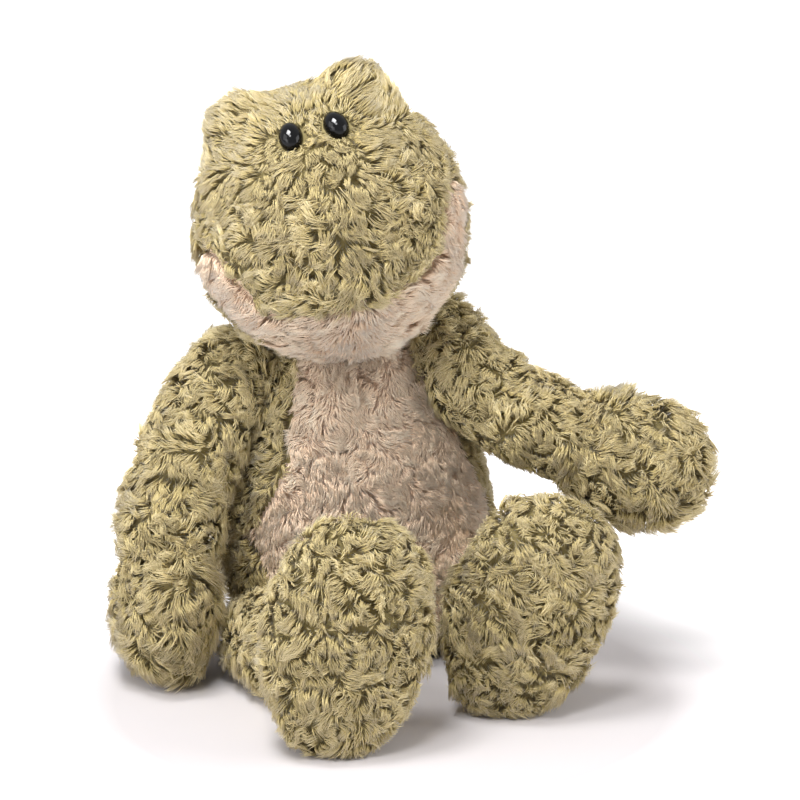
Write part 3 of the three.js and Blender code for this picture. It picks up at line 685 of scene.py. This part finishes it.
for form in ("torso", "head"):
    mesh = skins[form].data
    pink = is_pink(form, rows_of(mesh.polygons, "center") / MM)
    mesh.polygons.foreach_set("material_index", pink.astype(np.int32))
    print(form, "pink faces:", int(pink.sum()), "of", len(pink))

# %% [markdown]
# ## The pile's finish
#
# The pile is polyester fibre, cut, then tumbled warm until it stands in curly locks. Along each fibre the
# colour runs from dark at the root to pale at the tip. The dark root is painted shade, standing in for the
# shade deep in the pile between the locks. No two locks took the dye alike. Each fibre carries its own
# coordinates: across, its share of the dye, and along, the way from its root to its tip. The colour is read
# from those two alone.

# %% Pile materials
def pile_finish(name, along, across, sheen):
    """Brushed polyester pile: soft, satin at grazing angles, pale at the tips, and painted darker at the
    roots as shade.
    """
    material, tree, output = new_material(name)
    fibre = add(tree, "ShaderNodeUVMap", uv_map="fibre")
    split = add(tree, "ShaderNodeSeparateXYZ", {0: fibre.outputs["UV"]})
    colour = add(tree, "ShaderNodeMix", {0: 1.0, 6: colour_ramp(tree, split.outputs["Y"], along),
                                         7: colour_ramp(tree, split.outputs["X"], across)},
                 data_type="RGBA", blend_type="MULTIPLY")
    hair = add(tree, "ShaderNodeBsdfPrincipled", {"Base Color": colour.outputs[2], "Roughness": 0.55,
                                                  "Specular IOR Level": 0.15, "Sheen Weight": sheen,
                                                  "Sheen Roughness": 0.5})
    tree.links.new(hair.outputs[0], output.inputs["Surface"])
    return material


# The first ramp of each pile runs from root to tip, and its dark root colour is painted shade, standing in
# for the shade deep in the pile.
green_pile = pile_finish("olive_green_brushed_pile",
                         [(0.0, "#8C7E52"), (0.45, "#CABA82"), (1.0, "#FBEEC6")],
                         [(0.0, "#D2CDBE"), (0.5, "#F1EDE3"), (1.0, "#FFFCF2")], 0.25)
pink_pile = pile_finish("pale_pink_brushed_pile",
                        [(0.0, "#EAC8A8"), (0.4, "#FFE7CF"), (1.0, "#FFF6E6")],
                        [(0.0, "#ECE2D6"), (0.5, "#F7F0E7"), (1.0, "#FFFFFA")], 0.45)
print("piles:", green_pile.name, pink_pile.name)

# %% [markdown]
# ## Growing the pile
#
# Fur can be drawn as a particle system, as hair curves, or as real strands of mesh. The
# toy has to keep its fur when it leaves Blender, so each fibre here is a thin closed
# spindle of six triangles: a root, three points half way where it bends, and a tip.
#
# What makes it look like plush is how the fibres keep company. Roots are scattered evenly, each joins the
# nearest of a set of scattered centres, and the fibres of one lock lean together, curl over to one side, and
# draw in towards one tip. The locks keep company in tufts in the same way. The creases between them are dark
# from their own shade, and from the painted shade of the fibres' dark roots and of the dark ground.

# %% Scatter and gather
# These numbers only stir a cube's place into three fractions that look random.
STIR = np.array([[12.99, 78.23, 37.72], [39.35, 11.13, 83.16], [73.16, 52.24, 9.15]])
STIR_SCALE = 43758.5


def scatter(piece, per_mm2, rng):
    """Roots spread evenly over a skin: a triangle by its area, then a place on it.

    Returns places in mm and normals. With q the root of one random number and s another, the
    corners a, b and c weigh 1 - q, q (1 - s) and q s.
    """
    mesh = piece.data
    mesh.calc_loop_triangles()
    corners = rows_of(mesh.loop_triangles, "vertices", np.int32)
    points = rows_of(mesh.vertices, "co") / MM
    normals = rows_of(mesh.vertex_normals, "vector")
    a, b, c = (points[corners[:, k]] for k in range(3))
    area = np.linalg.norm(np.cross(b - a, c - a), axis=1) / 2
    total = np.cumsum(area)
    count = int(total[-1] * per_mm2)
    level = (np.arange(count) + rng.random(count)) / count * total[-1]
    pick = np.searchsorted(total, level).clip(0, len(area) - 1)
    root, side = np.sqrt(rng.random((count, 1))), rng.random((count, 1))
    weights = np.hstack([1 - root, root * (1 - side), root * side])
    place = sum(points[corners[pick, k]] * weights[:, k:k + 1] for k in range(3))
    normal = sum(normals[corners[pick, k]] * weights[:, k:k + 1] for k in range(3))
    return place, normal / np.linalg.norm(normal, axis=1, keepdims=True)


def gather(points, size, seed):
    """The lock that each root belongs to: the nearest of one scattered centre in every cube of a grid.

    A cube's centre is moved by three numbers made from its place in the grid.
    """
    cube = np.floor(points / size)
    best = np.full(len(points), np.inf)
    chosen = np.zeros_like(cube)
    for step in np.ndindex(3, 3, 3):
        near = cube + np.array(step) - 1
        mixed = np.sin(near @ STIR + seed) * STIR_SCALE
        centre = (near + mixed - np.floor(mixed)) * size
        apart = ((points - centre) ** 2).sum(1)
        closer = apart < best
        best = np.where(closer, apart, best)
        chosen[closer] = near[closer]
    return np.unique(chosen, axis=0, return_inverse=True)[1].reshape(-1)


def mean_by(label, values):
    """The mean of the values of each lock."""
    count = np.bincount(label)
    return np.stack([np.bincount(label, values[:, k]) / count for k in range(values.shape[1])], -1)


def unit(vectors):
    """Vectors of length one."""
    return vectors / np.maximum(np.linalg.norm(vectors, axis=-1, keepdims=True), 1e-9)


def along_skin(ways, normals, turn):
    """Ways laid flat on the skin, then turned about the normal: cos(turn) way + sin(turn) (normal x way)."""
    flat = unit(ways - (ways * normals).sum(1, keepdims=True) * normals)
    return flat * np.cos(turn)[:, None] + np.cross(normals, flat) * np.sin(turn)[:, None]


print("faces to root the pile in:", sum(len(skin.data.polygons) for skin in skins.values()))

# %% Fibres into a mesh
SIDES = np.radians([90, 210, 330])
# Corners of the six triangles: the root is point 0, the bend has points 1 to 3, and the tip is point 4.
SPINDLE = np.array([(0, 2, 1), (0, 3, 2), (0, 1, 3), (1, 2, 4), (2, 3, 4), (3, 1, 4)])
# Each point's coordinates: a little to either side of the fibre's dye, and the way along it.
DYE_SHIFT, WAY_ALONG = np.array([0, -.01, 0, .01, 0]), np.array([.01, .5, .5, .5, .99])
LOWEST_FIBRE = 0.3  # mm above the floor


def spindles(name, root, middle, tip, width, dye):
    """A mesh of closed three-sided spindles, with coordinates (dye, way along) on every corner.

    The bend's points lie at middle + width / 2 (cos a . across + sin a . aside), square to the fibre.
    """
    count = len(root)
    heading = unit(tip - root)
    across = unit(np.cross(heading, np.where(np.abs(heading[:, 2:]) < 0.8, [[0, 0, 1.0]], [[1.0, 0, 0]])))
    aside = np.cross(heading, across)
    ring = np.cos(SIDES)[None, :, None] * across[:, None] + np.sin(SIDES)[None, :, None] * aside[:, None]
    bend = middle[:, None] + ring * width[:, None, None] / 2
    points = np.concatenate([root[:, None], bend, tip[:, None]], axis=1)
    points[..., 2] = np.maximum(points[..., 2], LOWEST_FIBRE)
    corners = (SPINDLE[None] + 5 * np.arange(count)[:, None, None]).reshape(-1)
    mesh = bpy.data.meshes.new(name)
    mesh.vertices.add(5 * count)
    mesh.vertices.foreach_set("co", (points * MM).reshape(-1).astype(np.float32))
    mesh.loops.add(len(corners))
    mesh.loops.foreach_set("vertex_index", corners.astype(np.int32))
    mesh.polygons.add(len(corners) // 3)
    mesh.polygons.foreach_set("loop_start", np.arange(0, len(corners), 3, dtype=np.int32))
    mesh.polygons.foreach_set("use_smooth", np.ones(len(corners) // 3, bool))
    pair = np.stack([dye[:, None] + DYE_SHIFT, np.broadcast_to(WAY_ALONG, (count, 5))], -1).reshape(-1, 2)
    for layer in ("fibre", "OFBake"):
        mesh.uv_layers.new(name=layer).data.foreach_set("uv", pair[corners].reshape(-1).astype(np.float32))
    mesh.update(calc_edges=True)
    return mesh


print("triangles in one fibre:", len(SPINDLE))

# %% [markdown]
# ## Which way the pile lies
#
# A maker combs the seams free after sewing, and the toy is then handled, so the pile
# lies in swirls. Each form has a main direction, down the body and along the limbs,
# and smooth noise turns it this way and that. On the face it parts at the middle seam
# and runs outwards, stands up on the brows, and is trimmed around the eyes.

# %% Combing directions
EYE_ASIDE, EYE_SPREAD, EYE_ANGLE = 3.5, 10, 45  # mm, mm and degrees above the nose
PARTING, CROWN_START, NAPE_START = 9, 34, 8  # mm, from the head's middle
CALM_START, CALM_RUN = 12, 25  # mm above the head's middle
FACE_FALL = -0.55  # how far the pile points down below the crown for each step outwards
EYE_PUSH, EYE_REACH = 3, 9  # how strongly the pile turns away from an eye, and over how many mm
EYE_PLACES = []
for sign in (1, -1):
    aside = EYE_ASIDE + sign * EYE_SPREAD
    level, angle = math.sqrt(1 - (aside / HEAD_HALF) ** 2), math.radians(EYE_ANGLE)
    EYE_PLACES.append((aside, -level * HEAD_FRONT * math.cos(angle), level * HEAD_CROWN * math.sin(angle)))


def comb(form, points):
    """The main way of the pile at each root, before the swirls."""
    if form == "head":
        x, y, z = head_local(points).T
        outwards = np.tanh(x / PARTING)
        upwards = np.where(z > CROWN_START, 1.0, FACE_FALL) * np.where(y < NAPE_START, 1, -1)
        way = unit(np.stack([outwards, 0 * x, upwards], -1))
        for place in EYE_PLACES:
            away = np.stack([x, y, z], -1) - place
            gap = np.linalg.norm(away, axis=1, keepdims=True)
            way = way + EYE_PUSH * np.exp(-(gap / EYE_REACH) ** 2) * away / gap
        return way @ np.array(HEAD_AXES)
    way = np.array([0, 0, -1.0])
    if form in LIMBS or form.startswith("hand"):
        way = -np.array({**LIMBS, **PADS}[form]["axes"][2])
    return np.broadcast_to(way, points.shape)


def calm(form, points):
    """1 where the pile lies straight, as on the brows, and 0 where it swirls."""
    if form != "head":
        return np.zeros(len(points))
    return ((head_local(points)[:, 2] - CALM_START) / CALM_RUN).clip(0, 1)


EYE_BARE, EYE_TRIM_START, EYE_TRIM_RUN = 6.1, 2.6, 11  # mm from an eye's middle
RUB_START, RUB_RUN = 40, 12  # mm to the toy's left, where the raised arm rubs the body
SEAM_REACH = 20  # degrees from a seam of the chin
CHEEK_TRIM_START, CHEEK_TRIM_RUN = 30, 15  # mm from the middle seam
ARM_WEAR, BODY_WEAR, CHEEK_WEAR, BROW_WEAR = 0.55, 0.35, 0.6, 0.2  # shares of the length that are gone
FULLNESS = {"hand_left": 1.12, "hand_right": 1.12, "arm_right": 1.08}


def trim(form, points, normals):
    """The share of the pile's length that is left: none under an eye, short beside it and by the chin.

    The raised arm's pile is worn short along its underside, and the body's where that arm rubs it.
    """
    if form == "arm_left":
        return 1 - ARM_WEAR * (-normals[:, 2]).clip(0, 1)
    if form == "torso":
        return 1 - BODY_WEAR * ((points[:, 0] - RUB_START) / RUB_RUN).clip(0, 1)
    if form != "head":
        return np.full(len(points), FULLNESS.get(form, 1.0))
    local = head_local(points)
    gap = np.min([np.linalg.norm(local - place, axis=1) for place in EYE_PLACES], axis=0)
    angle = head_angle(points)
    to_seam = np.minimum(abs(angle - mouth_angle(points)), abs(angle - jaw_angle(points)))
    seam = (to_seam / SEAM_REACH).clip(0, 1)
    cheek = ((np.abs(local[:, 0]) - CHEEK_TRIM_START) / CHEEK_TRIM_RUN).clip(0, 1)
    by_eye = np.where(gap < EYE_BARE, 0, ((gap - EYE_TRIM_START) / EYE_TRIM_RUN).clip(0, 1))
    return (by_eye * (1 - BROW_WEAR * calm(form, points))
            * np.where(is_pink(form, points), 1, 1 - CHEEK_WEAR * cheek * (1 - seam)))


print("eyes on the head, mm:", np.round(EYE_PLACES, 1).tolist())

# %% [markdown]
# ## The coats
#
# The green pile is about 10 mm long and stands about 6 mm off the ground, because it
# leans over. The pink is shorter, finer and smoother. The model has about two fibres to
# the square millimetre, far fewer than real plush, and draws them wider to match, which
# covers the ground as well and still shows single fibres. The feet are pressed and
# rubbed most, so their pile is shorter and flatter, and lies every way.

# %% Shape the fibres
WIDE_SWIRL, TIGHT_SWIRL = 26, 9  # mm from swirl to swirl
STRAY_TURN, STRAY_LEAN, STRAY_TIP = 7, 9, 0.5  # degrees, degrees and mm
FIRST_PART, SECOND_PART = 0.45, 0.55  # shares of the length before and after the bend
CALM_SWIRL, CALM_TURN, CALM_CURL = 0.75, 0.5, 0.6  # shares of each that calm pile lacks
LOCK_LENGTHS, TUFT_LENGTHS, FIBRE_LENGTHS, FIBRE_WIDTHS = (0.8, 1.2), (0.85, 1.2), (0.85, 1.1), (0.75, 1.2)
DYE_BY_LOCK, DYE_BY_FIBRE = 0.2, 0.14  # spreads about the middle of the dye's colours
BURIED = 5  # mm inside a neighbour, where no fibre is grown
GREEN = dict(pink=False, per_mm2=1.7, length=10.5, width=0.54, lock=5.0, tuft=12.0, lean=(28, 74), swirl=62,
             turn=26, curl=42, draw=(0.1, 0.55), press=(0.0, 0.35))
SOLE = dict(GREEN, per_mm2=1.8, length=9.5, width=0.52, lean=(34, 76), turn=34, curl=50, draw=(0.1, 0.5),
            press=(0.05, 0.4))
PINK = dict(pink=True, per_mm2=2.45, length=7.8, width=0.46, lock=4.0, tuft=12.0, lean=(38, 70), swirl=44,
            turn=9, curl=14, draw=(0.0, 0.15), press=(0.0, 0.32))


def shape_fibres(form, kind, root, normal, length, seed, rng):
    """The bend, tip, width and dye of each fibre.

    The first part leans from the normal by the first angle, and the second by the second, turned
    aside by the curl. Then the tips of a lock draw in towards their mean, and so do those of a tuft.
    """
    lock, tuft = gather(root, kind["lock"], seed), gather(root, kind["tuft"], seed + 5)
    locks, tufts = lock.max() + 1, tuft.max() + 1
    quiet = calm(form, root)
    swirl = waves(root, WIDE_SWIRL, seed + 1) + 0.8 * waves(root, TIGHT_SWIRL, seed + 2)
    swirl = np.radians(kind["swirl"]) * swirl * (1 - CALM_SWIRL * quiet)
    turn = rng.normal(size=locks)[lock] + rng.normal(size=tufts)[tuft]
    turn = np.radians(kind["turn"]) * turn * (1 - CALM_TURN * quiet)
    way = along_skin(comb(form, root), normal,
                     swirl + turn + np.radians(STRAY_TURN) * rng.normal(size=len(root)))
    curl = np.radians(kind["curl"]) * rng.normal(size=locks)[lock] * (1 - CALM_CURL * quiet)
    bent = along_skin(way, normal, curl)
    lean = np.radians(kind["lean"])[:, None] + np.radians(STRAY_LEAN) * rng.normal(size=tufts)[tuft]
    length = length * rng.uniform(*LOCK_LENGTHS, locks)[lock] * rng.uniform(*FIBRE_LENGTHS, len(root))
    length = length * rng.uniform(*TUFT_LENGTHS, tufts)[tuft]
    start = normal * np.cos(lean[0])[:, None] + way * np.sin(lean[0])[:, None]
    finish = normal * np.cos(lean[1])[:, None] + bent * np.sin(lean[1])[:, None]
    middle = root + start * (length * FIRST_PART)[:, None]
    tip = middle + finish * (length * SECOND_PART)[:, None]
    drawn, pressed = rng.uniform(*kind["draw"], locks), rng.uniform(*kind["press"], tufts)
    for label, shares in ((lock, drawn), (tuft, pressed)):
        share = shares[label][:, None]
        tip += (mean_by(label, tip)[label] - tip) * share
        middle += (mean_by(label, middle)[label] - middle) * share * 0.5
    tip += rng.normal(size=tip.shape) * STRAY_TIP
    dye = 0.5 + DYE_BY_LOCK * rng.normal(size=locks)[lock] + DYE_BY_FIBRE * rng.normal(size=len(root))
    width = kind["width"] * rng.uniform(*FIBRE_WIDTHS, len(root))
    return middle, tip, width, dye.clip(0.02, 0.98)


print("a lock of the green pile holds about", round(GREEN["lock"] ** 2 * GREEN["per_mm2"]), "fibres")

# %% Grow the coats
def grow(form, kind, parts, seed):
    """The coat of one form: parts maps a piece's name to what picks its roots, and the nodes it replaces."""
    rng = np.random.default_rng(seed)
    root, normal = scatter(skins[form], kind["per_mm2"], rng)
    keep = is_pink(form, root) == kind["pink"]
    for other, depth in DEPTHS.items():
        if other != form:
            keep &= depth(root) < BURIED
    length = kind["length"] * trim(form, root, normal)
    keep &= length > 0
    root, normal, length = root[keep], normal[keep], length[keep]
    middle, tip, width, dye = shape_fibres(form, kind, root, normal, length, seed, rng)
    for name, (chosen, node_names) in parts.items():
        pick = chosen(root)
        mesh = spindles(name, root[pick], middle[pick], tip[pick], width[pick], dye[pick])
        mesh.materials.append(pink_pile if kind["pink"] else green_pile)
        piece = put_in_scene(name, mesh)
        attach(piece, form)
        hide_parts(*node_names)
        print(name, "fibres", int(pick.sum()), "triangles", len(mesh.polygons))


def everywhere(points):
    """Picks every root."""
    return np.ones(len(points), bool)


def body_side(sign):
    """Picks the roots on one side of the spine."""
    return lambda points: (points[:, 0] - body_middle(points[:, 2])) * sign >= 0


def in_front(points):
    """True from the mouth seam to the crown's seam, 92 degrees above the nose."""
    angle = head_angle(points)
    return (angle >= mouth_angle(points)) & (angle < 92)


def face_side(sign):
    """Picks the roots in front of the crown's seam on one side of the face's middle seam."""
    return lambda points: (head_local(points)[:, 0] * sign >= 0) & in_front(points)


grow("torso", GREEN, {"body_pile_left": (body_side(1), ["back_panel"]),
                      "body_pile_right": (body_side(-1), ["back_panel"])}, 11)
grow("torso", PINK, {"belly_pile": (everywhere, ["belly_panel"])}, 12)
grow("head", GREEN, {"face_pile_left": (face_side(1), ["face_panel_left"]),
                     "face_pile_right": (face_side(-1), ["face_panel_right"]),
                     "head_back_pile": (lambda points: ~in_front(points), ["head_back_panel"])}, 13)
grow("head", PINK, {"chin_pile": (everywhere, ["chin_panel"])}, 14)
PANELS = {"arm": ("front_panel", "back_panel"), "hand": ("palm_panel", "back_panel"),
          "leg": ("inner_panel", "outer_panel"), "foot": ("sole_panel", "instep_panel")}
for number, form in enumerate([*LIMBS, *PADS]):
    panels = [f"{form}_{panel}" for panel in PANELS[form.split("_")[0]]]
    kind = SOLE if form.startswith("foot") else GREEN
    grow(form, kind, {form + "_pile": (everywhere, panels)}, 20 + number)

# %% [markdown]
# ## The eyes
#
# A safety eye is one moulding of black plastic: an oval dome with a polished face and a
# shank that goes through the fabric to a washer. The dome's rim sinks into the pile. It
# is drawn as rings from the rim to the top, over a short skirt that closes it behind.

# %% Eyes
eye_plastic, tree, output = new_material("polished_black_acrylic")
place = add(tree, "ShaderNodeTexCoord")
smears = add(tree, "ShaderNodeTexNoise", {"Vector": place.outputs["Object"], "Scale": 400.0, "Detail": 3.0})
polish = add(tree, "ShaderNodeMapRange", {"Value": smears.outputs["Fac"], "To Min": 0.03, "To Max": 0.08})
dome = add(tree, "ShaderNodeBsdfPrincipled", {"Base Color": linear("#08080A"), "Roughness": polish.outputs[0],
                                              "IOR": 1.38, "Specular IOR Level": 0.3})
tree.links.new(dome.outputs[0], output.inputs["Surface"])

EYE_HALVES, EYE_DOME, EYE_SINK, EYE_SKIRT = (5.1, 6.7), 5.0, 1.0, 3.0


def eye_rings():
    """An oval dome: ring p has the half axes times sin p at the height dome cos p, over a closed skirt."""
    p = np.linspace(0, math.pi / 2, 12)[::-1]
    share = np.concatenate([[0, 0.6, 1.0], np.sin(p)])[:, None]
    height = np.concatenate([[-EYE_SKIRT, -EYE_SKIRT, -EYE_SKIRT * 0.6], EYE_DOME * np.cos(p)])[:, None]
    return ovals(EYE_HALVES[0] * share, EYE_HALVES[1] * share, height)


for side, local in zip(("left", "right"), EYE_PLACES):
    outward = unit(np.array(local) / np.array([HEAD_HALF, HEAD_FRONT, HEAD_CROWN]) ** 2)
    crosswise = unit(np.cross([0, 0, 1.0], outward))
    eye_axes = np.array([crosswise, np.cross(outward, crosswise), outward]) @ np.array(HEAD_AXES)
    eye_at = to_room(np.array(local) - outward * EYE_SINK, HEAD_AXES, HEAD_ORIGIN)
    mesh = close_rings("eye_dome_" + side, to_room(eye_rings(), eye_axes, eye_at))
    mesh.materials.append(eye_plastic)
    mesh.shade_smooth()
    eye = put_in_scene("eye_dome_" + side, mesh)
    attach(eye, "head")
    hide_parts("eye_" + side)
    print("eye", side, "at", np.round(eye_at, 1).tolist())

# %% [markdown]
# ## What is inside
#
# The filling, the pouch of pellets, the neck's plug and the washers stay as the packed
# model has them, because they are right as they are and nothing shows of them. They get
# the finish of the real thing all the same: crimped white fibre, cloth that pellets
# press through, and plain nylon. The neck's plug is wrapped in the green ground, since
# a glimpse of it shows between the hairs at the nape when the head turns.

# %% Finishes of the inner parts
def plain_finish(name, dark, light, per_m, roughness, bump_mm):
    """A matt finish with noise in its colour and surface, at a number of grains to the metre."""
    material, tree, output = new_material(name)
    place = add(tree, "ShaderNodeTexCoord")
    grain = add(tree, "ShaderNodeTexNoise", {"Vector": place.outputs["Object"], "Scale": per_m,
                                             "Detail": 5.0})
    colour = colour_ramp(tree, grain.outputs["Fac"], [(0.35, dark), (0.65, light)])
    bump = add(tree, "ShaderNodeBump", {"Height": grain.outputs["Fac"], "Strength": 0.7,
                                        "Distance": bump_mm * MM})
    body = add(tree, "ShaderNodeBsdfPrincipled", {"Base Color": colour,
                                                  "Normal": bump.outputs["Normal"], "Roughness": roughness})
    tree.links.new(body.outputs[0], output.inputs["Surface"])
    return material


INNER = {"stuffing": plain_finish("crimped_polyester_fibre", "#E6E4DE", "#F4F3EF", 260.0, 0.95, 1.5),
         "pouch": plain_finish("pellet_filled_cotton", "#CFC8B8", "#E2DCCE", 220.0, 0.85, 1.0),
         "plug": green_ground,
         "washer": plain_finish("natural_nylon", "#E4E2DA", "#EDEBE4", 90.0, 0.45, 0.1)}
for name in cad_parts:
    for word, material in INNER.items():
        if word in name:
            node = bpy.data.objects[name]
            for material_slot in node.material_slots:
                material_slot.material = material
print("inner parts finished:", sum(any(word in name for word in INNER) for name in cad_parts))

# %% Measure the dressed toy
visual_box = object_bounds()
low_side = [round((a - b) / MM, 1) for a, b in zip(solid_box[0], visual_box[0])]
high_side = [round((b - a) / MM, 1) for a, b in zip(solid_box[1], visual_box[1])]
print("the pile stands out, mm, low side:", low_side, "high side:", high_side)
